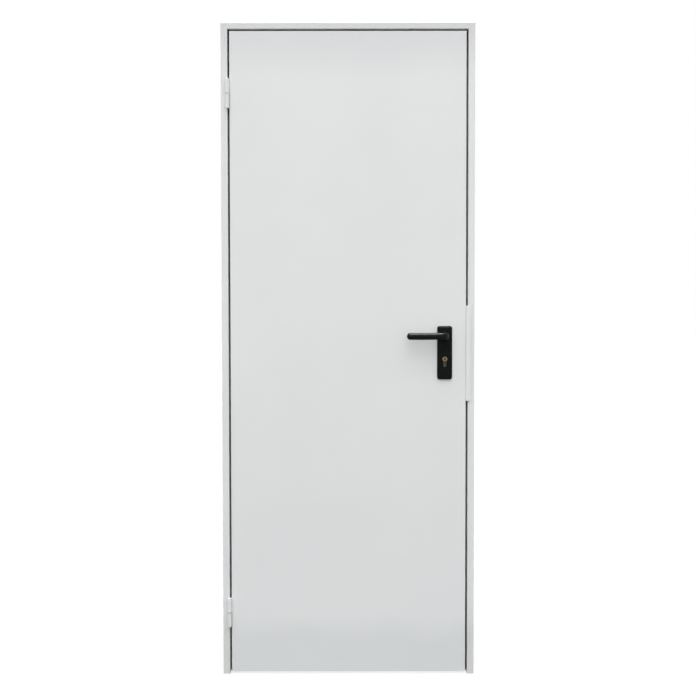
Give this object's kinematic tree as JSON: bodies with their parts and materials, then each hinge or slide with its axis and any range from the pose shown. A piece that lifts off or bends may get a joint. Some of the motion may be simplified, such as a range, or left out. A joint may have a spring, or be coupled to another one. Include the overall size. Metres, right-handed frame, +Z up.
{
  "type": "steel utility door",
  "caption": "Flush white steel utility door in a folded sheet frame, on lift-off hinges, with a black lever handle, keyed lock and pry guard.",
  "frame": {"origin": "on the hinge jamb's wall lip, at floor level, half way across the lip's depth", "axes": "+X from the hinge jamb to the lock jamb, +Y from the front to the back, +Z up; the leaf opens towards -Y"},
  "size_m": [0.79, 0.146, 2.04],
  "materials": {
    "frame_paint": "semi-gloss white paint on folded zinc-coated sheet",
    "leaf_paint": "semi-gloss white paint on zinc-coated sheet",
    "seal_rubber": "matt black",
    "zinc_steel": "zinc-coated, dull",
    "bright_steel": "plain bright",
    "washer_nylon": "dark nylon",
    "core_foam": "rigid foam",
    "handle_nylon": "satin black",
    "cylinder_brass": "satin, slightly dull"
  },
  "bodies": {
    "frame": {"hinge_jamb": "frame_paint", "lock_jamb": "frame_paint", "frame_head": "frame_paint", "hinge_seal": "seal_rubber", "lock_seal": "seal_rubber", "head_seal": "seal_rubber", "hinge_anchor_low": "zinc_steel", "hinge_anchor_middle": "zinc_steel", "hinge_anchor_top": "zinc_steel", "lock_anchor_low": "zinc_steel", "lock_anchor_middle": "zinc_steel", "lock_anchor_top": "zinc_steel", "upper_hinge_frame_knuckle": "frame_paint", "lower_hinge_frame_knuckle": "frame_paint", "upper_hinge_pin": "bright_steel", "lower_hinge_pin": "bright_steel", "upper_hinge_washer": "washer_nylon", "lower_hinge_washer": "washer_nylon", "strike_box": "zinc_steel"},
    "leaf": {"leaf_front_skin": "leaf_paint", "leaf_back_skin": "leaf_paint", "leaf_core": "core_foam", "leaf_top_channel": "zinc_steel", "leaf_bottom_channel": "zinc_steel", "upper_hinge_leaf_knuckle": "leaf_paint", "lower_hinge_leaf_knuckle": "leaf_paint", "pry_guard": "leaf_paint", "lock_case": "zinc_steel", "lock_forend": "bright_steel", "latch_bolt": "bright_steel", "dead_bolt": "bright_steel", "front_plate": "handle_nylon", "back_plate": "handle_nylon", "lock_cylinder": "cylinder_brass", "front_plug": "cylinder_brass", "back_plug": "cylinder_brass"},
    "handle": {"front_lever": "handle_nylon", "back_lever": "handle_nylon", "spindle": "bright_steel"}
  },
  "joints": [
    {"name": "leaf_swing", "type": "hinge", "parent": "frame", "child": "leaf", "pos_m": [0.021, -0.023, 1], "axis": [0, 0, -1], "range_deg": [0, 170]},
    {"name": "handle_turn", "type": "hinge", "parent": "leaf", "child": "handle", "pos_m": [0.6965, -0.015, 1.0678], "axis": [0, -1, 0], "range_deg": [0, 40], "stiffness_Nm_per_rad": 2, "springref_deg": -17.19}
  ]
}
